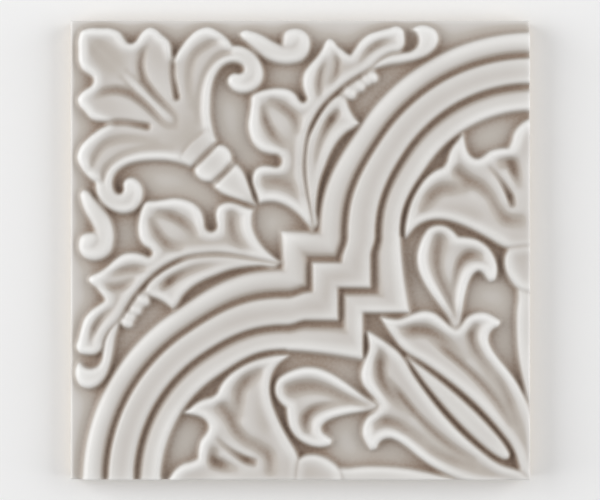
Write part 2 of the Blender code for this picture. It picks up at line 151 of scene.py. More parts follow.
# %% The grid
CELLS = 610
CELL = TURN_LINE / CELLS
MARGIN_CELLS = 48
ticks = (np.arange(CELLS + MARGIN_CELLS + 1) - MARGIN_CELLS) * CELL
grid_a, grid_b = np.meshgrid(ticks, ticks)
print("grid of", grid_a.shape, "heights,", round(CELL, 3), "mm apart")

# %% [markdown]
# ## How far a place is from a line
#
# A raised leaf needs to know, for each place of the grid, how far away its outline is and whether the
# place is inside it. A vein also needs to know how far along it the place lies, because it is deeper
# in some places. The line is short straight pieces, and each piece is compared with all the places
# near the line at once.

# %% Distances
def window(line, reach):
    """The rows and columns of the grid that lie within reach of the line."""
    low = np.searchsorted(ticks, line.min(axis=0) - reach)
    high = np.searchsorted(ticks, line.max(axis=0) + reach)
    return np.s_[low[1]:high[1], low[0]:high[0]]


def measure(line, is_loop, area):
    """Distance to the line, share of its length at the nearest place, and inside or not.

    On a piece from s to s + r the nearest place is s + t r, with t = (p - s).r / r.r kept between 0
    and 1. A place is inside when a ray to its right crosses the loop an odd number of times.
    """
    a, b = grid_a[area], grid_b[area]
    q = np.concatenate([line, line[:1]]) if is_loop else line
    run = np.diff(q, axis=0)
    length = np.linalg.norm(run, axis=1)
    before = np.concatenate([[0], np.cumsum(length)])
    nearest = np.full(a.shape, np.inf)
    along = np.zeros(a.shape)
    inside = np.zeros(a.shape, bool)
    for k in np.flatnonzero(length > 1e-9):
        da, db = a - q[k, 0], b - q[k, 1]
        t = np.clip((da * run[k, 0] + db * run[k, 1]) / length[k] ** 2, 0, 1)
        gap = (da - t * run[k, 0]) ** 2 + (db - t * run[k, 1]) ** 2
        closer = gap < nearest
        nearest = np.where(closer, gap, nearest)
        along = np.where(closer, before[k] + t * length[k], along)
        if is_loop and run[k, 1] != 0:
            rows = (q[k, 1] <= b) != (q[k + 1, 1] <= b)
            inside ^= rows & (da < db / run[k, 1] * run[k, 0])
    return np.sqrt(nearest), along / before[-1], inside


test_line = np.array([(10.0, 10.0), (20.0, 10.0)])
test_gap = measure(test_line, False, window(test_line, 2))[0]
print("places within 1 mm of a line 10 mm long:", int((test_gap <= 1).sum()))

# %% [markdown]
# ## The quatrefoil's band
#
# Three rounded ridges run side by side round the quatrefoil: over the lobe as parts of circles, and
# then in steps round the corner on the diagonal. They could be swept along a path, but the steps and
# the lobe have to meet without a gap. So each place of the grid gets a level instead: 0 at the band's
# outer foot, 1 and 2 in its two grooves, and 3 at its inner foot. The height then only depends on the
# level, and all three ridges bend together.

# %% Levels of the band
LOBE_DOWN = 71.7
LOBE_RADII_UPWARD = (67.7, 60.5, 50.3, 41.9)
LOBE_RADII_SIDEWAYS = (70.6, 62.4, 51.3, 43.7)
LOBE_SWELLS_FROM, LOBE_SWELLS_OVER = 34.0, 26.0
STEP_CORNER = 69.9
STEP_WIDTH = 10.4
WALL_EDGES = (-0.7, 7.9, 19.5)
TOP_EDGES = (-0.2, 8.8, 19.1, 26.9)
RUN_INTO_STEPS = (8.0, 8.0, 6.5)
TOE_STEP, TOE_FLARE, TOE_FLARES_OVER, TOE_BEND = 0.3, 3.0, 25.0, 1.6
LEVEL_OUTSIDE = 8.0  # mm for one level outside the band


def ease(t):
    """0 to 1 with a level start and end: t^2 (3 - 2t)."""
    t = np.clip(t, 0, 1)
    return t * t * (3 - 2 * t)


def across(distance, edges):
    """k + (distance - edge k) / (edge k+1 - edge k) between edge k and the next one.

    Before the first edge it is the distance to it (below 0) over 8 mm.
    """
    level = (distance - edges[0]) / LEVEL_OUTSIDE
    for k in range(3):
        width = edges[k + 1] - edges[k]
        level = np.where(distance >= edges[k], k + (distance - edges[k]) / width, level)
    return level


def band_level(a, b):
    """In the lobe, the level across the radii. Below it, the level across the upright walls, from a.

    The radii grow from their upward to their sideways values, and the walls lead over from the radii
    to the steps. Where the level across the steps' flat walls, from min(a, b), is larger, it takes
    its place.
    """
    x, y = TURN_LINE - a, LOBE_DOWN - b
    angle = np.degrees(np.arctan2(np.maximum(y, 0), np.abs(x)))
    swell = ease((LOBE_SWELLS_FROM - angle) / LOBE_SWELLS_OVER)
    radii = [up + (side - up) * swell for up, side in zip(LOBE_RADII_UPWARD, LOBE_RADII_SIDEWAYS)]
    lobe = across(-np.hypot(x, y), [-radius for radius in radii])

    under_lobe = [TURN_LINE - STEP_CORNER - STEP_WIDTH - side for side in LOBE_RADII_SIDEWAYS]
    upright = [edge + (start - edge) * ease(1 - (b - LOBE_DOWN) / run)
               for edge, start, run in zip(WALL_EDGES, under_lobe, RUN_INTO_STEPS)]
    down_the_toe = np.clip((b - LOBE_DOWN) / TOE_FLARES_OVER, 0, 1)
    upright.append(under_lobe[3] + TOE_STEP + TOE_FLARE * down_the_toe**TOE_BEND)
    walls = across(a - STEP_CORNER - STEP_WIDTH, upright)
    tops = across(np.minimum(a, b) - STEP_CORNER, TOP_EDGES)
    return np.maximum(np.where(b < LOBE_DOWN, lobe, walls), tops)


level = band_level(grid_a, grid_b)
on_band = (level > 0) & (level < 3) & (grid_a > grid_b)
print("share of the grid that the band covers:", round(2 * float(on_band.mean()), 3))

# %% [markdown]
# ## The ridges' cross-section
#
# Across the band the clay has the section of a wooden moulding. The middle ridge is a bar with steep
# sides and a slightly hollow top. The outer ridge is highest near the band's outer foot and slopes down
# from there to its groove, and the inner ridge does the same the other way round. A template drawn
# through clay gives such a section, and here a smooth line through pairs of a level and a height does.

# %% Ridges
SECTION = (
    (-0.12, 0), (-0.05, 0.3), (0.02, 1.3), (0.1, 2.15), (0.2, 2.65), (0.32, 2.88), (0.44, 2.85),
    (0.6, 2.65), (0.74, 2.35), (0.86, 1.85), (0.96, 0.95), (1.03, 0.35), (1.09, 0.8), (1.15, 2.1),
    (1.21, 2.75), (1.3, 2.9), (1.45, 2.8), (1.6, 2.7), (1.74, 2.78), (1.83, 2.88), (1.91, 2.5),
    (1.98, 1.3), (2.04, 0.3), (2.1, 0.45), (2.2, 1.35), (2.32, 2.15), (2.45, 2.5), (2.6, 2.6),
    (2.76, 2.84), (2.86, 2.9), (2.94, 2.5), (3.02, 1.5), (3.09, 0.3), (3.16, 0),
)
section = curve(SECTION, step=0.02)
clay = np.interp(level, section[:, 0], np.maximum(section[:, 1], 0), left=0, right=0)
print("band pressed in, up to", round(float(clay.max()), 2), "mm")

# %% [markdown]
# ## Raised forms
#
# A leaf on such a tile is a low pad of clay with a rolled edge. Its wall climbs from the ground as a
# quarter round, its lip stands highest, and behind the lip the surface sinks to a lower floor. A
# pressing like this can be made with one function of the distance to the outline. Where a form lies
# over another, it pushes a small crease into the lower one, so that the two don't melt together.

# %% Pressing a form into the clay
FOOT = 0.45
CREASE_WIDTH = 0.6
PRESS_REACH = 2.2


def press(clay, loop, lip=TOP, floor=2.1, wall=1.9, roll=1.7, crease=0.9):
    """Raises the clay inside the loop, d mm in from its foot, to top x sqrt(1 - (1 - d / wall)^2).

    The foot lies a little outside the outline. The top is floor + (lip - floor) e^(-((d - wall) /
    roll)^2). Around the form, the clay is lowered by crease x e^(-(d / 0.6)^2) where it isn't on the
    ground already.
    """
    area = window(loop, PRESS_REACH)
    gap, _, inside = measure(loop, True, area)
    d = np.where(inside, gap, -gap) + FOOT
    climb = np.sqrt(1 - (1 - np.clip(d / wall, 0, 1)) ** 2)
    top = floor + (lip - floor) * np.exp(-((np.clip(d - wall, 0, None) / roll) ** 2))
    lowered = clay[area] - crease * np.clip(clay[area], 0, 1) * np.exp(-((gap / CREASE_WIDTH) ** 2))
    clay[area] = np.where(inside, top * climb, np.maximum(lowered, top * climb))


test_clay = np.zeros_like(grid_a)
press(test_clay, np.array([(20.0, 10.0), (30.0, 10.0), (30.0, 20.0), (20.0, 20.0)]))
print("a square pad pressed as a test is", round(float(test_clay.max()), 2), "mm high")

# %% [markdown]
# ## The sprigs of acanthus
#
# Each sprig has a leaf with four lobes, a flower cup and a hooked stalk that share one curved midrib.
# A string of beads on a low rod comes out of the cup. A bead is half an egg, given by its middle, its
# half length and half width, and its height. The leaf lies over the stalk and the cup, so it is pressed
# in last.

# %% Stalk, cup, beads and acanthus leaf
STALK = [
    [(97, 17.6), (101, 16), (105, 14.8), (110, 14), (114.5, 13), (118.2, 11.5), (120.8, 9), (121.7, 6.2),
     (120.9, 3.8), (118.6, 2.3), (115.8, 2), (113.3, 3)],
    [(113.3, 3), (114.7, 4.4), (115.3, 6.6), (114.6, 8.9), (112.6, 10.4), (109.5, 10.9), (106, 11.4),
     (102.5, 13), (99.5, 15.2), (97, 17.6)],
]
CUP = [
    [(80.3, 69.5), (79.3, 63), (78.4, 57), (77.7, 50), (77.9, 43.5), (78.8, 39), (80.4, 35.5), (82.1, 32.3),
     (84, 29.4), (85.6, 27.3), (87.6, 25.5)],
    [(87.6, 25.5), (89.6, 25.2), (91.2, 26.6), (92.1, 29), (93.4, 31.4), (95.6, 34)],
    [(95.6, 34), (93.8, 35.6), (91.4, 37), (88.4, 40), (86.1, 43.8), (84.2, 48.4), (82.6, 53), (81.7, 58),
     (81.3, 63), (81.3, 68.5), (80.3, 69.5)],
]
MIDRIB = [
    (97, 17.2), (94.2, 18.8), (91.4, 20.6), (88.4, 23), (85.2, 26), (82.6, 29), (80.5, 32.3), (79, 35.5),
    (78, 39), (77.4, 43.5), (77.1, 48), (77.3, 52), (78.1, 57), (79.2, 63), (80.3, 70),
]
ACANTHUS = [
    [(80.3, 70), (78, 66.8), (75.3, 63.9), (72, 61.5), (68.5, 60.1), (65.2, 59.9), (62.7, 60.4)],
    [(62.7, 60.5), (61.9, 58), (60.9, 55.6), (60.3, 53.2), (60.6, 51), (61.8, 49.1), (63.8, 48.3),
     (66.3, 48.4), (68.7, 48.6), (69.8, 47.6), (69.9, 46), (68.9, 44.7), (66.4, 44.2), (63.2, 43.1),
     (60.8, 40.8), (59.5, 37.8), (59, 34.6), (59.5, 31), (59.9, 28), (60.2, 25), (62.4, 23.7),
     (65.5, 22.9), (69, 22.6),
     (72.2, 23.1), (74.4, 24.5), (75.8, 26.5), (77.1, 27.3), (78.4, 26.1)],
    [(78.4, 26.1), (77.3, 23), (77, 20.2), (77.5, 17.6), (79.2, 15), (81.6, 12.3), (83.6, 9.4), (84.7, 7.2),
     (85.6, 6.3), (86.9, 7), (88.2, 8.6), (90, 10), (91.5, 11.1), (92.7, 11.7)],
    [(92.7, 11.7), (94.3, 9.6), (96.1, 7.1), (98.8, 4.9), (102, 3.8), (105.5, 2.9), (108.2, 2.3),
     (109.8, 3.2), (110.5, 5.6), (110.5, 8), (109.2, 10), (106, 10.9), (103.6, 12), (101.4, 13.6),
     (99.3, 15.6), (97, 17.2)],
    MIDRIB,
]
BEADS = (
    (94.3, 22.3, 8.2, 2.5, 2.45), (89.2, 26.4, 1.9, 2.0, 2.8), (92.5, 24.0, 2.4, 2.9, 2.9),
    (95.7, 21.6, 2.0, 2.6, 2.85), (98.0, 19.7, 1.9, 2.5, 2.8), (99.8, 18.7, 2.2, 2.7, 2.9),
)
STRING_DIRECTION = (0.82, -0.57)

press(clay, beside_diagonal(STALK), lip=2.7, floor=2.4)
press(clay, beside_diagonal(CUP), lip=2.75, floor=2.2)
for bead_a, bead_b, half_along, half_across, bead_height in BEADS:
    da, db = grid_a - bead_a, grid_b - bead_b
    on_string = da * STRING_DIRECTION[0] + db * STRING_DIRECTION[1]
    beside_string = da * STRING_DIRECTION[1] - db * STRING_DIRECTION[0]
    share = np.clip(1 - (on_string / half_along) ** 2 - (beside_string / half_across) ** 2, 0, 1)
    clay = np.maximum(clay, bead_height * np.sqrt(share))
press(clay, beside_diagonal(ACANTHUS), floor=2.1, crease=1.0)
print("sprig pressed in: leaf, cup, stalk and", len(BEADS) - 1, "beads")

# %% [markdown]
# ## The palmette in the outer corner
#
# The palmette fans out towards the tile's outer corner and rolls into a volute on each side. At its
# foot it wears a cuff, and below come a collar and a small cone, all on the diagonal. A low spine of
# clay runs under them and joins them. Beside the palmette, near the edge, lies a small scroll by
# itself.

# %% Scroll, palmette, cuff, cone and collar
SCROLL = [
    [(56.2, 4.4), (57.6, 3.6), (60, 3.9), (63.6, 5.2), (66.8, 7), (70.2, 8.5)],
    [(70.2, 8.4), (70.4, 6), (71.3, 3.9), (73.6, 3), (76.3, 3.3), (78.5, 5), (79.4, 7.8), (78.8, 10.8),
     (76.8, 13.2), (73.4, 14.3), (69, 14.2), (65, 12.9), (61.2, 10.1), (58.4, 7.4), (56.8, 5.9), (56.2, 4.4)],
]
PALMETTE = [
    [(3.8, 3.8), (6, 3), (10, 2.9), (13.8, 3.1), (16.2, 4.2), (17.8, 6.2), (19, 7.6), (20.4, 7.9)],
    [(20.4, 7.9), (21.9, 7), (23, 5.3), (24.3, 3.8), (26.3, 2.7), (28.3, 3.4), (30.3, 5.1), (32.4, 6.9),
     (33.4, 9), (34.6, 11.8)],
    [(34.6, 11.8), (36.6, 9.2), (39, 6.2), (42, 3.6), (45.6, 2.6), (48.8, 3.9), (51.8, 6.2), (53.6, 8.5)],
    [(53.6, 8.5), (57, 8.8), (60.6, 10.8), (63, 14.2), (63.8, 18), (62.7, 21.4), (60, 23.5), (56.8, 24),
     (53.8, 22.8), (52.2, 20.5), (52.6, 18.6), (54.2, 17.6), (56.2, 17.7), (57.4, 16.8), (57.2, 15.4),
     (55.6, 14.3), (52.8, 14.1), (50.2, 15.3), (48.1, 18), (46.7, 22.2), (46.2, 27), (46.3, 32),
     (47.2, 36.6), (48.4, 40)],
    [(48.4, 40), (44.2, 44.2)],
]
CONE = [
    [(51.3, 51.3), (55, 47.8)],
    [(55, 47.8), (56.9, 50), (58.2, 52.7), (59.3, 55.7), (60.3, 58.6), (61.4, 61.4)],
]
CUFF = [
    [(40.2, 40.2), (46, 35.8)],
    [(46, 35.8), (48.1, 39.8)],
    [(48.1, 39.8), (44, 44)],
]
COLLAR = [
    [(45.2, 45.2), (49, 41.4)],
    [(49, 41.4), (50.4, 41.5), (52.3, 43), (53.2, 45), (53.2, 46.4)],
    [(53.3, 46.4), (50.2, 50.2)],
]
SPINE = [
    [(43, 43), (46.5, 40.5)],
    [(46.5, 40.5), (51, 43.8), (54.5, 47.6), (57, 52)],
    [(57, 52), (55, 55)],
]

press(clay, beside_diagonal(SCROLL), lip=2.75, floor=2.6, wall=2.4)
press(clay, over_diagonal(SPINE), lip=1.5, floor=1.5, wall=1.5)
press(clay, over_diagonal(PALMETTE), floor=2.15, roll=1.3, crease=0.2)
press(clay, over_diagonal(CUFF), lip=2.6, floor=2.6, wall=1.3, crease=0.3)
press(clay, over_diagonal(CONE), lip=2.9, floor=2.7, wall=1.5, crease=0.6)
press(clay, over_diagonal(COLLAR), lip=2.9, floor=2.8, wall=1.5, crease=0.7)
print("palmette pressed in, with its cuff, collar, cone and scroll")

# %% [markdown]
# ## The leaves inside the quatrefoil
#
# In the middle of the lobe a tulip stands on a stem, with a knob between them, and the face's edge
# cuts them in half. Beside the stem lie a leaf with two lobes and one long leaf that points to the
# quatrefoil's centre, and a slim spear lies in the cleft on the diagonal.

# %% Stem, tulip, knob, lobed leaf, long leaf and spear
STEM = [
    [(TURN_LINE, 84), (148.4, 86), (148.2, 92), (147.7, 97), (147.7, 104), (148.3, 111), (149.4, 117.5),
     (150.6, 123), (151.6, 128), (TURN_LINE, 133)],
]
TULIP = [
    [(TURN_LINE, 32.6), (150.3, 33.6), (148.2, 35.4), (146.8, 37.6), (146.1, 40), (145, 42.4)],
    [(145, 42.4), (142, 42.6), (139, 43.4), (136.8, 45), (134.7, 45.9), (132.7, 45.2), (131.1, 43),
     (130.4, 40.4), (129.9, 37.6)],
    [(129.9, 37.6), (128.4, 39.6), (126.5, 41.9), (125.3, 44.4), (124.6, 46.9), (123.3, 48.9)],
    [(123.2, 48.8), (120.6, 50), (118, 52), (115.1, 55.8), (112.9, 60), (111.5, 64.5), (110.8, 69),
     (111, 72)],
    [(111, 72), (112.4, 70.2), (114.3, 68.2), (117.3, 66.6), (121, 65.9), (125.5, 66.4), (130, 67.9),
     (134.5, 70), (139, 72.5), (142.5, 74.6), (145, 75.6), (149, 75.8), (TURN_LINE, 75.8)],
]
KNOB = [
    [(TURN_LINE, 74.4), (148, 74.8), (145.2, 75.5), (143.9, 77.6), (143.6, 80.5), (144.5, 83.8),
     (146.2, 86.6), (147.8, 88.4), (TURN_LINE, 90)],
]
TREFOIL = [
    [(126.2, 100.6), (124.8, 97.8), (122, 93.8), (119, 89.6), (116.6, 85.6), (115.1, 81.6), (114.8, 78),
     (115.7, 74.2), (117.1, 71), (118.6, 68.9), (121.2, 67.8), (124.1, 68.1), (126.4, 69.6), (128.2, 71.6)],
    [(128.2, 71.6), (131, 71.8), (134.3, 72.5), (137.4, 74.4), (139.8, 77.5), (141, 80.8), (141, 84),
     (140.1, 86), (138.8, 86.3)],
    [(138.8, 86.3), (137.5, 84.8), (136.3, 83.4), (134.9, 82.9), (133.3, 83.8), (131.9, 86), (130.8, 89.2),
     (130, 92.8), (129.5, 96.4), (129.1, 99.6), (128.5, 102.8)],
    [(128.5, 102.8), (127, 102.8), (126.2, 100.6)],
]
LONG_LEAF = [
    [(102.8, 98.2), (105.5, 98.6), (108.5, 98.8), (111.5, 97.9), (114.5, 96.8), (117.3, 96.3), (120.2, 96.9),
     (123, 98.9), (125.3, 100.9), (127.6, 102)],
    [(127.6, 102), (129.4, 100.6), (131.2, 98.5), (133.8, 97.1), (136.8, 96.8), (139.6, 97.9), (142.1, 99.6)],
    [(142.1, 99.6), (141.6, 101), (139.9, 101.9), (138.6, 103.5), (138.2, 105.8), (139.2, 108.6),
     (141.2, 111.6), (144.2, 115.2), (147.2, 119.2), (149.7, 123.6), (151.5, 127.8), (152.8, 132), (154, 138),
     (155, 146)],
    [(155, 146), (158, 158), (149, 149)],
    [(149, 149), (148.2, 146.3), (147.4, 143.6), (145.8, 140.4), (143.2, 136.9), (140, 133), (135.4, 128),
     (130.4, 123.4), (125.2, 119.2), (120.2, 115.5), (116, 112.7), (112, 110.4), (109.4, 108.2), (107, 105),
     (104.6, 101.4), (102.8, 98.4)],
]
SPEAR = [
    [(111.2, 111.2), (115.7, 114.2), (120.2, 117.5), (125.5, 121.8), (130.4, 126.1), (135.3, 130.8),
     (139.2, 134.9), (142.2, 138.4), (144.4, 141.6), (145.3, 143.6), (145, 145)],
]

press(clay, over_edge(STEM), lip=2.5, floor=2.3)
press(clay, over_edge(TULIP), floor=2.1)
press(clay, over_edge(KNOB), floor=2.5, wall=1.7, crease=0.5)
press(clay, beside_diagonal(TREFOIL), floor=1.95)
press(clay, beside_diagonal(LONG_LEAF), floor=2.05)
press(clay, over_diagonal(SPEAR), lip=2.85, floor=2.7, wall=2.0)
print("inner leaves pressed in; highest place", round(float(clay.max()), 2), "mm")

# %% [markdown]
# ## Hollows in the leaves
#
# What makes the pads read as leaves is the hollow in each lobe, and the creases between the lobes.
# The modeller cut them with a round tool, pressing harder in the middle of a stroke than at its ends.
# A stroke is a line with a depth and a width at each of its points, and across the line the cut is
# shaped like a bell.

# %% Cutting strokes
CUT_REACH = 3.2  # times the width
CUT_IN_FULL_FROM = 1.2


def cut(clay, points, depths, widths):
    """Lowers the clay by depth x e^(-(d / width)^2), d mm from the stroke's line.

    The depth and the width change evenly from point to point. The cut fades where the clay is lower
    than 1.2 mm, so that the ground beside a leaf stays level. A depth below 0 raises a rib.
    """
    p = np.asarray(points, float)
    steps = np.linalg.norm(np.diff(p, axis=0), axis=1)
    places = np.concatenate([[0], np.cumsum(steps)]) / steps.sum()
    area = window(p, CUT_REACH * max(widths))
    d, along, _ = measure(curve(points), False, area)
    depth = np.interp(along, places, depths)
    width = np.interp(along, np.linspace(0, 1, len(widths)), widths)
    clay[area] -= depth * np.exp(-((d / width) ** 2)) * ease(clay[area] / CUT_IN_FULL_FROM)


test_clay = np.full_like(grid_a, TOP)
cut(test_clay, [(20, 10), (30, 10)], (0.5, 1.5), (1, 1))
print("a stroke cut as a test goes down to", round(float(test_clay.min()), 2), "mm")

# %% [markdown]
# ## The strokes of the palmette
#
# The palmette's middle rib is raised a little, with a short groove beside it. A long groove and a
# straight, deeper one part its lobes, two soft ones follow the volute, which is raised too, and the
# last one lowers the cone's tip. A stroke is its points, its depths and its widths.

# %% Palmette strokes
PALMETTE_STROKES = [
    ([(25, 8.4), (23.7, 11.4), (23.2, 15.4), (24.2, 19.6), (26.7, 23.3), (30, 26.9), (33, 29.8),
      (34.8, 32), (34.9, 35)],
     (0.3, 1.2, 1.6, 1.9, 1.8, 1.5, 1.0, 0.6, 0.5), (1.2, 1.5, 1.3, 0.9)),
    ([(18.6, 16.6), (21, 18.8), (23.4, 20.6)], (0.2, 0.5, 0.4), (0.7, 0.8)),
    ([(19, 19), (23, 23), (27.5, 27.5), (31.6, 31.6)], (-0.1, -0.2, -0.3, -0.3), (0.8, 1.7)),
    ([(34.4, 9.8), (33.9, 14.5), (33.9, 18.5), (34.6, 22.5), (35.2, 25.5), (35.8, 27)],
     (1.6, 1.6, 1.5, 2.0, 2.3, 0), (1.0, 1.0)),
    ([(7, 6.5), (10, 8), (14, 11.5), (18, 16.5)], (0.3, 0.5, 0.3, 0.1), (2.2, 2.4)),
    ([(49.6, 6.4), (45.4, 8), (41, 11.5), (39.4, 16), (39.2, 22), (40, 28)],
     (0.5, 1.0, 0.9, 0.7, 0.5, 0.2), (1.3, 1.8)),
    ([(52.8, 10.4), (48.8, 12.2), (45.4, 16.2), (43.2, 22), (42.3, 28), (42.6, 33)],
     (0.8, 0.9, 0.7, 0.5, 0.4, 0.2), (1.2, 1.6)),
    ([(55, 11.3), (59, 12.8), (60.6, 16.6), (59, 20.2), (55.8, 20.5)],
     (-0.2, -0.4, -0.4, -0.4, -0.4), (1.4, 1.6)),
    ([(57.6, 57.6), (59.4, 59.4), (61.6, 61.6)], (0.2, 0.7, 0.9), (1.6, 1.5)),
]
for points, depths, widths in PALMETTE_STROKES:
    cut(clay, points, depths, widths)
print(len(PALMETTE_STROKES), "strokes in the palmette")

# %% [markdown]
# ## The strokes of the sprig
#
# Each lobe of the acanthus leaf has one or two hollows, with a rib between them that runs from the
# lobe's tip to the midrib. The flower cup is hollow at its mouth, and the scroll a little at its head.

# %% Sprig strokes
SPRIG_STROKES = [
    ([(64.4, 53.4), (68, 53.2), (72, 54.6), (75.8, 57.6)], (1.0, 1.3, 1.0, 0.4), (2.6, 2.0)),
    ([(66.8, 26.8), (70.4, 28.8), (73.8, 31.8), (75.4, 36)], (0.8, 1.4, 1.4, 0.6), (1.8, 1.8)),
    ([(63.6, 29.6), (64.6, 33.2), (66.6, 37), (70, 41)], (0.9, 1.6, 1.6, 0.7), (1.7, 1.7)),
    ([(84.2, 12.8), (82.8, 17), (82.2, 21.4), (82.8, 25.4)], (0.4, 1.15, 1.1, 0.3), (1.2, 1.3)),
    ([(87.2, 10), (88.4, 13.4), (88, 17.2), (86.4, 21)], (0.5, 1.1, 1.1, 0.4), (1.2, 1.3)),
    ([(105, 6.5), (102.2, 7.7), (99, 9.7), (95.9, 12.5)], (0.4, 1.25, 1.15, 0.3), (1.2, 1.2)),
    ([(87.9, 31), (86.4, 32.7), (84.5, 35.6), (83, 39), (81.8, 43), (81, 48)],
     (1.3, 2.3, 1.6, 0.9, 0.5, 0.1), (1.5, 1.4)),
    ([(75.2, 4.5), (75.4, 7), (73.6, 8.9), (71, 9)], (0.2, 0.3, 0.4, 0.4), (0.7, 0.7)),
]
for points, depths, widths in SPRIG_STROKES:
    cut(clay, points, depths, widths)
print(len(SPRIG_STROKES), "strokes in the sprig")

# %% [markdown]
# ## The strokes of the inner leaves
#
# The tulip has the deepest ones: a long fold from its left point down to the stem, a slot beside it,
# and a pit near the face's edge. Its foot is raised a little. The lobed leaf has one hollow along each
# lobe. The long leaf has several, side by side, that run on towards its tip.

# %% Strokes of the tulip, the lobed leaf and the long leaf
INNER_STROKES = [
    ([(128.4, 50.4), (131.4, 52.8), (135.6, 54.9), (138.9, 58), (141.2, 62), (144, 65.4), (148.5, 66)],
     (1.6, 2.2, 1.9, 1.5, 1.4, 1.6, 0.9), (2.4, 2.1)),
    ([(116.8, 61.6), (119.2, 58.2), (122.5, 56), (126.4, 55.6), (130, 55.8)],
     (0.8, 1.7, 1.7, 1.5, 0.8), (2.4, 2.3)),
    ([(138.4, 48.6), (141.6, 52), (144, 55.5), (145.5, 58.3), (146.2, 60.6)],
     (0.4, 1.2, 2.1, 2.8, 1.9), (0.8, 1.25)),
    ([(143.2, 47.2), (145.8, 47.5), (147, 49.8), (148.3, 54.2)], (1.2, 2.5, 2.4, 0.7), (2.2, 1.9)),
    ([(137, 67.4), (143.5, 70.6), (151, 71.4)], (-0.2, -0.35, -0.35), (2.6, 2.6)),
    ([(122, 72.6), (121.4, 76), (121.2, 80), (122, 84.6), (124, 89.6), (126, 94.4), (127.3, 98),
      (127.8, 101)],
     (1.3, 1.7, 1.7, 1.5, 1.5, 1.5, 1.3, 0.6), (2.8, 2.2, 2.0)),
    ([(135, 77.9), (131.6, 77.9), (129.4, 79.6), (128, 82.6), (127.4, 86.4), (127.2, 91)],
     (0.9, 1.9, 1.8, 1.4, 0.9, 0.4), (1.9, 1.2)),
    ([(109.6, 103), (113.4, 102.5), (118, 102.8), (122, 104.6), (125.4, 108), (129.5, 112)],
     (0.7, 1.9, 2.1, 1.8, 1.2, 0.5), (2.2, 2.0)),
    ([(119.5, 106), (124.2, 109.6), (129.3, 113.6), (134.2, 118.2), (138.2, 122.6), (142, 127.6), (145, 133)],
     (0.4, 1.4, 1.6, 1.6, 1.4, 0.9, 0.4), (1.1, 1.4)),
    ([(133.8, 101.2), (132.7, 104.2), (133.6, 107.6), (135.9, 111), (138.6, 115)],
     (0.8, 1.8, 1.6, 1.1, 0.4), (1.8, 1.7)),
    ([(127, 106), (133, 111), (139, 118), (144, 127)], (0.3, 0.6, 0.6, 0.3), (3.0, 3.0)),
    ([(139, 113.5), (142.6, 119.5), (145.4, 126), (147.6, 133)], (0.3, 0.8, 0.8, 0.3), (1.7, 1.4)),
]
for points, depths, widths in INNER_STROKES:
    cut(clay, points, depths, widths)
print(len(INNER_STROKES), "strokes in the inner leaves")

# %% [markdown]
# ## Both sides of the diagonal, and past the edges
#
# The drawing is now mirrored in the diagonal: a grid of heights is mirrored by swapping its rows and
# columns. Then it is mirrored for 12 mm past the line where the pattern turns round, so that what is
# worked out from the surroundings of a place is right at the face's edge too.

# %% Mirror
clay = np.where(grid_a >= grid_b, clay, clay.T)
clay = np.pad(clay, ((0, MARGIN_CELLS), (0, MARGIN_CELLS)), mode="reflect")
print("heights run from", round(float(clay.min()), 2), "to", round(float(clay.max()), 2), "mm")

# %% [markdown]
# ## The glaze fills the corners
#
# Molten glaze rounds every edge and fills every corner, which is why a glazed relief looks soft. A
# blur with a bell-shaped weight does the same to a grid of heights. It is worked out here with a
# Fourier transform, where a blur is only a multiplication.

# %% Blur
def blur(field, spread):
    """The mean of the surroundings, weighted by e^(-d^2 / (2 spread^2)), d mm away.

    In the transform each wave of f turns per mm is multiplied by e^(-2 pi^2 spread^2 f^2).
    """
    rows = np.fft.fftfreq(field.shape[0], CELL)[:, None]
    columns = np.fft.rfftfreq(field.shape[1], CELL)[None, :]
    weight = np.exp(-2 * (np.pi * spread) ** 2 * (rows**2 + columns**2))
    return np.fft.irfft2(np.fft.rfft2(field) * weight, s=field.shape)


GLAZE_SOFTENS = 0.45
surface = np.minimum(blur(clay, GLAZE_SOFTENS), TOP)
print("softened surface runs up to", round(float(surface.max()), 2), "mm")

# %% [markdown]
# ## Where the glaze pools, with painted shade and highlight
#
# The glaze is a pale, half clear grey over a brownish clay. It runs thin and pale over the raised
# edges and pools, darker and warmer, in the hollows. The same number also carries painted light: the
# hollows get painted shade on top of the pooling, and the rims a painted highlight. The number depends
# on how far a place is below its surroundings, near and far. So the surface is compared with two blurs
# of itself, and the sum is one number for each place, which the mesh carries to the material. The
# glaze also draws back from the tile's own edges, so for the blurs the ground falls away past them. In
# the middle of a wide pocket, far from every wall, it runs level and thin, so there a little is taken
# away again.

# %% Pooling
POOL_AND_PAINTED_LIGHT_REACHES = (  # reach of the blur, weight, and how far the ground falls away past the edges
    (0.8, 0.4, 2.0),
    (3.6, 0.7, 0.4),
)
POCKET_REACH, THINNER_IN_POCKETS = 3.6, 0.28
GROUND_ENDS_AT = 0.7
WIDE_FROM, WIDE_OVER = 0.3, 1.1

past_edges = (grid_a < 0) | (grid_b < 0) | (grid_a > FACE) | (grid_b > FACE)
past_edges = np.pad(past_edges, ((0, MARGIN_CELLS), (0, MARGIN_CELLS)), constant_values=True)
# the pooling number, with painted shade in the hollows and a painted highlight on the rims
pool_and_painted_light = np.zeros_like(surface)
for reach, weight, fall in POOL_AND_PAINTED_LIGHT_REACHES:
    pool_and_painted_light = pool_and_painted_light + weight * (blur(surface - fall * past_edges, reach) - surface)
on_ground = 1 - ease(surface / GROUND_ENDS_AT)
far_from_walls = 1 - ease((blur(surface, POCKET_REACH) - WIDE_FROM) / WIDE_OVER)
pool_and_painted_light = pool_and_painted_light - THINNER_IN_POCKETS * on_ground * far_from_walls
print("pooling runs from", round(float(pool_and_painted_light.min()), 2), "to", round(float(pool_and_painted_light.max()), 2))

# %% [markdown]
# ## The mesh of the tile
#
# The face becomes a grid of quads, with a few closer lines along the edges for the rounded arris. A
# quad has two triangles, so a face of 300 by 300 points stays below 200,000 together with the sides
# and the back. The heights are read from the finer grid by mixing the four nearest ones.

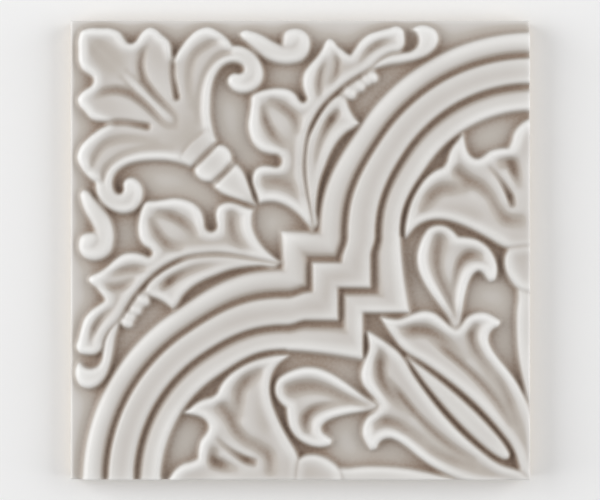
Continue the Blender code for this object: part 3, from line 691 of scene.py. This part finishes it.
# %% Points of the face
FACE_LINES = 300
ARRIS_LINES = (0, 0.06, 0.18, 0.36, 0.6, 0.9)
FIRST_INNER_LINE = 1.3
inner_lines = np.linspace(FIRST_INNER_LINE, FACE - FIRST_INNER_LINE, FACE_LINES - 2 * len(ARRIS_LINES))
lines = np.concatenate([ARRIS_LINES, inner_lines, FACE - np.array(ARRIS_LINES)[::-1]])
face_a, face_b = np.meshgrid(lines, lines)


def read(field, a, b):
    """The field at the place (a, b), from its four neighbours weighted by how near they are."""
    x, y = a / CELL + MARGIN_CELLS, b / CELL + MARGIN_CELLS
    column, row = x.astype(int), y.astype(int)
    u, v = x - column, y - row
    upper = (1 - u) * field[row, column] + u * field[row, column + 1]
    lower = (1 - u) * field[row + 1, column] + u * field[row + 1, column + 1]
    return (1 - v) * upper + v * lower


def arris_drop(distance):
    """How far the rounded arris lies below the face: r - sqrt(r^2 - (r - distance)^2)."""
    left = np.clip(ARRIS - distance, 0, ARRIS)
    return ARRIS - np.sqrt(ARRIS**2 - left**2)


edge_a = np.minimum(face_a, FACE - face_a)
edge_b = np.minimum(face_b, FACE - face_b)
face_z = BODY + read(surface, face_a, face_b) - arris_drop(edge_a) - arris_drop(edge_b)
face_z = np.maximum(face_z, BODY - ARRIS)
face_pool_and_painted_light = read(pool_and_painted_light, face_a, face_b)
face_low, face_high = float(face_z.min()), float(face_z.max())
print("face of", face_z.shape, "points,", round(face_low, 2), "to", round(face_high, 2), "mm high")

# %% [markdown]
# ## Sides and back
#
# The face's border is carried down in rings to make the four sides. The last ring is drawn in a
# little, which breaks the sharp back edge, and the back is closed with a fan of triangles. A closed
# body is needed for a real tile, and the sides and the back are seen when it is turned over.

# %% Sides and back
SIDE_SHARES = (0.93, 0.82, 0.66, 0.48, 0.3, 0.14)
BACK_CHAMFER = 0.3
count = len(lines)
numbers = np.arange(count * count).reshape(count, count)
border = np.concatenate([numbers[0, :-1], numbers[:-1, -1], numbers[-1, :0:-1], numbers[:0:-1, 0]])

place = np.stack([face_a - FACE / 2, FACE / 2 - face_b, face_z], axis=-1).reshape(-1, 3)
rings = [place[border] * (1, 1, share) for share in SIDE_SHARES]
rings.append(place[border] * (1, 1, 0) + (0, 0, BACK_CHAMFER))
drawn_in = 1 - 2 * BACK_CHAMFER / FACE
rings.append(place[border] * (drawn_in, drawn_in, 0))
place = np.concatenate([place] + rings + [np.zeros((1, 3))]) * MM

ring_numbers = [border] + [numbers.size + k * len(border) + np.arange(len(border)) for k in range(len(rings))]
centre = len(place) - 1
top_quads = np.stack([numbers[1:, :-1], numbers[1:, 1:], numbers[:-1, 1:], numbers[:-1, :-1]], axis=-1)
side_quads = [
    np.stack([upper, np.roll(upper, -1), np.roll(lower, -1), lower], axis=-1)
    for upper, lower in zip(ring_numbers[:-1], ring_numbers[1:])
]
quads = np.concatenate([top_quads.reshape(-1, 4)] + side_quads)
back = np.stack([ring_numbers[-1], np.roll(ring_numbers[-1], -1), np.full(len(border), centre)], axis=-1)
print(len(place), "points,", len(quads), "quads and", len(back), "triangles =", 2 * len(quads) + len(back))

# %% [markdown]
# ## Into Blender
#
# The arrays go into a mesh with foreach_set, which takes whole arrays and is far quicker than a loop.
# The face and the sides are shaded smooth. The back stays flat, so the light doesn't bend round its
# edge. The pooling, with its painted shade and painted highlight, is stored as an attribute, one
# number for each point, and the sides, where glaze runs off, get one low number.

# %% Build the tile
def build_mesh(name, place, quads, triangles):
    """A mesh from an array of points and two arrays of point numbers."""
    mesh = bpy.data.meshes.new(name)
    mesh.vertices.add(len(place))
    mesh.vertices.foreach_set("co", place.ravel())
    corners = np.concatenate([quads.ravel(), triangles.ravel()])
    mesh.loops.add(len(corners))
    mesh.loops.foreach_set("vertex_index", corners)
    sizes = np.concatenate([np.full(len(quads), 4), np.full(len(triangles), 3)])
    mesh.polygons.add(len(sizes))
    mesh.polygons.foreach_set("loop_start", np.concatenate([[0], np.cumsum(sizes)[:-1]]))
    mesh.polygons.foreach_set("use_smooth", sizes == 4)
    mesh.update(calc_edges=True)
    return mesh


def volume(place, triangles):
    """A sixth of the sum of p0 . (p1 x p2): above 0 when a closed surface faces outwards."""
    p = place[triangles]
    return (p[:, 0] * np.cross(p[:, 1], p[:, 2])).sum() / 6


tile_mesh = build_mesh("tile", place, quads, back)
SIDE_POOL = -0.12
point_pool_and_painted_light = np.full(len(place), SIDE_POOL)
point_pool_and_painted_light[: numbers.size] = face_pool_and_painted_light.ravel()
# the attribute carries the pooling together with its painted shade and painted highlight
attribute = tile_mesh.attributes.new("glaze_pool", "FLOAT", "POINT")
attribute.data.foreach_set("value", point_pool_and_painted_light.astype(np.float32))

tile = bpy.data.objects.new("relief_tile", tile_mesh)
bpy.context.scene.collection.objects.link(tile)
all_triangles = np.concatenate([quads[:, :3], quads[:, [0, 2, 3]], back])
cubic_cm = float(volume(place, all_triangles)) * 1e6
print("volume", round(cubic_cm, 1), "cubic cm, mesh valid:", not tile_mesh.validate())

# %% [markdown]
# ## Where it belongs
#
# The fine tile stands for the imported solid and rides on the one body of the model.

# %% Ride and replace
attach(tile, "root")
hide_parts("tile")
print(tile.name, "rides on the root and stands for the packed tile")

# %% [markdown]
# ## Shader sums as Python sums
#
# A glaze is a sum of small effects, and in the node editor such sums soon turn into a web. Here one
# small class wraps a socket, so that a sum is written as a sum and adds its Math nodes by itself.

# %% A socket that can be calculated with
class Wire:
    """A socket of a material, which can be added, taken away and multiplied as a number can."""

    def __init__(self, tree, socket=None):
        self.tree = tree
        self.socket = socket

    def node(self, kind, settings=None, sockets=None, output=0):
        """A new node: its settings first, then a value or a wire for each socket that is named."""
        node = self.tree.nodes.new(kind)
        for name, value in (settings or {}).items():
            if name == "stops":
                while len(node.color_ramp.elements) < len(value):
                    node.color_ramp.elements.new(1)
                for element, (position, colour) in zip(node.color_ramp.elements, value):
                    element.position = position
                    element.color = (*colour, 1)
            else:
                setattr(node, name, value)
        for name, value in (sockets or {}).items():
            if isinstance(value, Wire):
                self.tree.links.new(value.socket, node.inputs[name])
            else:
                node.inputs[name].default_value = value
        return Wire(self.tree, node.outputs[output] if len(node.outputs) else None)

    def sum(self, operation, *values, clamp=False):
        """The operation on the values, each a wire or a number, kept between 0 and 1 by clamp."""
        settings = {"operation": operation, "use_clamp": clamp}
        return self.node("ShaderNodeMath", settings, dict(enumerate(values)))

    def __add__(self, other):
        return self.sum("ADD", self, other)

    def __sub__(self, other):
        return self.sum("SUBTRACT", self, other)

    def __rsub__(self, other):
        return self.sum("SUBTRACT", other, self)

    def __mul__(self, other):
        return self.sum("MULTIPLY", self, other)

    def __truediv__(self, other):
        return self.sum("DIVIDE", self, other)

    def __rtruediv__(self, other):
        return self.sum("DIVIDE", other, self)

    __radd__ = __add__
    __rmul__ = __mul__


print("a wire can stand on either side of + - * and /")

# %% [markdown]
# ## Colours
#
# The colours are chosen as they look on a screen, from 0 to 255, and Blender wants them in linear
# light, so one function converts them.

# %% Screen colour to linear light
def linear(*screen):
    """c / 12.92 below 0.04045, else ((c + 0.055) / 1.055)^2.4, with c the screen value over 255."""
    c = np.array(screen) / 255
    return tuple(float(v) for v in np.where(c <= 0.04045, c / 12.92, ((c + 0.055) / 1.055) ** 2.4))


print("a middle grey of 128 on the screen is", round(linear(128)[0], 3), "in linear light")

# %% [markdown]
# ## The glaze and the clay
#
# The pooling picks the glaze's colour from a ramp: nearly white on the rims, warm grey on the level
# parts and a pinkish brown in the feet and grooves. The ramp also holds painted light: its near white
# is partly a painted highlight on the rims, and its brown partly painted shade in the feet and
# grooves. Real glaze is never that even, so a slow noise shifts the pooling a little and a fine one
# speckles it where it lies thick. Two things set the gloss: the glaze itself and a coat over it. The
# sides are glazed only in their upper part. Below an uneven line, and on the back, the bare clay
# shows, which is matt and sandy.

# %% Material
# glaze colours by pooling: the near white end is partly a painted highlight, the brown end partly painted
# shade
GLAZE_AND_PAINTED_LIGHT_STOPS = (
    (0.0, linear(243, 242, 240)),
    (0.16, linear(233, 231, 228)),
    (0.28, linear(220, 217, 213)),
    (0.38, linear(208, 203, 198)),
    (0.46, linear(194, 187, 179)),
    (0.58, linear(184, 175, 166)),
    (0.70, linear(170, 157, 146)),
    (0.82, linear(154, 137, 123)),
    (1.0, linear(127, 107, 92)),
)
CLAY_STOPS = ((0.3, linear(196, 178, 154)), (0.7, linear(224, 210, 188)))
RAMP_LOW, RAMP_HIGH = -1.2, 1.45
THICK_FROM = -0.1
DRIFT_SCALE, DRIFT = 70.0, 0.16
SPECKLE_SCALE, SPECKLE = 900.0, 0.5
GLAZE_LINE, GLAZE_LINE_SOFTNESS = 0.0042, 0.0006  # metres above the back
GLAZE_LINE_SCALE, GLAZE_LINE_SWING = 160.0, 0.005
SAND_SCALE, SAND_DETAIL, SAND_ROUGHNESS = 1400.0, 4.0, 0.7
RIPPLE_SCALE, RIPPLE_DETAIL, RIPPLE = 420.0, 2.0, 0.6
GLAZE_ROUGHNESS, THICK_GLAZE_ROUGHER, CLAY_ROUGHNESS = 0.46, 0.06, 0.86
COAT = 0.18

material = bpy.data.materials.new("warm_grey_glaze")
material.use_nodes = True
tree = material.node_tree
tree.nodes.clear()
wire = Wire(tree)
position = wire.node("ShaderNodeTexCoord", output="Object")
# the pooling from the mesh, which also carries painted shade and a painted highlight
pooled_and_painted_light = wire.node("ShaderNodeAttribute", {"attribute_name": "glaze_pool"}, output="Fac")


def noise(scale, detail=3.0, roughness=0.5):
    """Soft random spots from 0 to 1, about 1 / scale metres across."""
    sockets = {"Vector": position, "Scale": scale, "Detail": detail, "Roughness": roughness}
    return wire.node("ShaderNodeTexNoise", sockets=sockets, output="Fac")


drift = (noise(DRIFT_SCALE) - 0.5) * DRIFT
thick = wire.sum("SUBTRACT", pooled_and_painted_light, THICK_FROM, clamp=True)
speckle = (noise(SPECKLE_SCALE) - 0.5) * thick * SPECKLE
amount = (pooled_and_painted_light + drift + speckle - RAMP_LOW) / (RAMP_HIGH - RAMP_LOW)
# glaze colour, with painted shade in the hollows and a painted highlight on the rims
glaze_and_painted_light_colour = wire.node("ShaderNodeValToRGB", {"stops": GLAZE_AND_PAINTED_LIGHT_STOPS}, {"Fac": amount})

height = wire.node("ShaderNodeSeparateXYZ", sockets={"Vector": position}, output="Z")
above_line = height - GLAZE_LINE + (noise(GLAZE_LINE_SCALE) - 0.5) * GLAZE_LINE_SWING
glazed = wire.sum("DIVIDE", above_line, GLAZE_LINE_SOFTNESS, clamp=True)
sand = noise(SAND_SCALE, SAND_DETAIL, SAND_ROUGHNESS)
clay_colour = wire.node("ShaderNodeValToRGB", {"stops": CLAY_STOPS}, {"Fac": sand})

# the colour sockets of a Mix node share their names with others, so they are given by number
mixed = {0: glazed, 6: clay_colour, 7: glaze_and_painted_light_colour}
colour = wire.node("ShaderNodeMix", {"data_type": "RGBA"}, mixed, output=2)
roughness = glazed * (thick * THICK_GLAZE_ROUGHER + (GLAZE_ROUGHNESS - CLAY_ROUGHNESS)) + CLAY_ROUGHNESS
ripple = noise(RIPPLE_SCALE, RIPPLE_DETAIL) * RIPPLE
bump_height = glazed * (ripple - sand) + sand
bump = {"Strength": 0.12, "Distance": 0.0004, "Height": bump_height}
normal = wire.node("ShaderNodeBump", sockets=bump)
finish = {
    "Base Color": colour,
    "Roughness": roughness,
    "Normal": normal,
    "Coat Weight": glazed * (1.0 - thick) * COAT,
    "Coat Roughness": 0.24,
    "IOR": 1.5,
    "Specular IOR Level": 0.35,
}
shader = wire.node("ShaderNodeBsdfPrincipled", sockets=finish)
wire.node("ShaderNodeOutputMaterial", sockets={"Surface": shader})
tile.data.materials.append(material)
print("glaze made of", len(tree.nodes), "nodes")

# %% [markdown]
# ## The floor
#
# The tile lies on its back on a plain pale floor. The floor is a flat square and isn't part of the object.

# %% Floor
FLOOR_HALF = 3.0  # metres
floor_corners = [(x * FLOOR_HALF, y * FLOOR_HALF, 0) for x, y in ((-1, -1), (1, -1), (1, 1), (-1, 1))]
floor_mesh = bpy.data.meshes.new("floor")
floor_mesh.from_pydata(floor_corners, [], [(0, 1, 2, 3)])
floor = bpy.data.objects.new("floor", floor_mesh)
bpy.context.scene.collection.objects.link(floor)
floor_material = bpy.data.materials.new("pale_floor")
floor_material.use_nodes = True
floor_shader = floor_material.node_tree.nodes["Principled BSDF"]
floor_shader.inputs["Base Color"].default_value = (*linear(246, 246, 246), 1)
floor_shader.inputs["Roughness"].default_value = 0.9
floor_mesh.materials.append(floor_material)
print("floor", 2 * FLOOR_HALF, "m wide")

# %% [markdown]
# ## Light
#
# Flat things are usually lit from two sides, so that no shadow falls one way. Here a big soft panel
# stands low on the left and a slightly weaker one on the right. They brighten the rims that face them
# and show in the gloss, and a pale sky fills the rest.

# %% Lights
def panel(name, place, size, power):
    """A square area light at the place, turned towards the tile: its axis is the line to the origin."""
    data = bpy.data.lights.new(name, "AREA")
    data.size = size
    data.energy = power
    lamp = bpy.data.objects.new(name, data)
    lamp.location = place
    x, y, z = place
    lamp.rotation_euler = (0, math.atan2(math.hypot(x, y), z), math.atan2(y, x))
    bpy.context.scene.collection.objects.link(lamp)


PANEL_SIZE = 1.2
LEFT_POWER, RIGHT_POWER, SKY_STRENGTH = 13.0, 10.7, 0.38
panel("left_panel", (-1.12, 0.15, 0.65), PANEL_SIZE, LEFT_POWER)
panel("right_panel", (1.12, 0.15, 0.65), PANEL_SIZE, RIGHT_POWER)
world = bpy.data.worlds.new("pale_studio")
world.use_nodes = True
sky = world.node_tree.nodes["Background"]
sky.inputs["Color"].default_value = (1.0, 1.0, 1.0, 1.0)
sky.inputs["Strength"].default_value = SKY_STRENGTH
bpy.context.scene.world = world
bpy.context.scene.view_settings.view_transform = "Standard"
print("panels of", LEFT_POWER, "and", RIGHT_POWER, "W, and a sky of strength", SKY_STRENGTH)

# %% [markdown]
# ## The camera
#
# The camera looks straight down on the tile from far away with a long lens, so that all four sides
# look equally long. The tile fills most of the picture's height.

# %% Camera
LENS, SENSOR = 135.0, 36.0  # mm
PICTURE_WIDTH = 0.198  # metres that the picture takes in at the height of the relief
distance = LENS / SENSOR * PICTURE_WIDTH
camera_data = bpy.data.cameras.new("camera")
camera_data.lens = LENS
camera_data.sensor_width = SENSOR
camera = bpy.data.objects.new("camera", camera_data)
camera.location = (0, 0, distance + (BODY + TOP) * MM)
bpy.context.scene.collection.objects.link(camera)
bpy.context.scene.camera = camera
print("camera", round(camera.location.z, 3), "m above the floor")
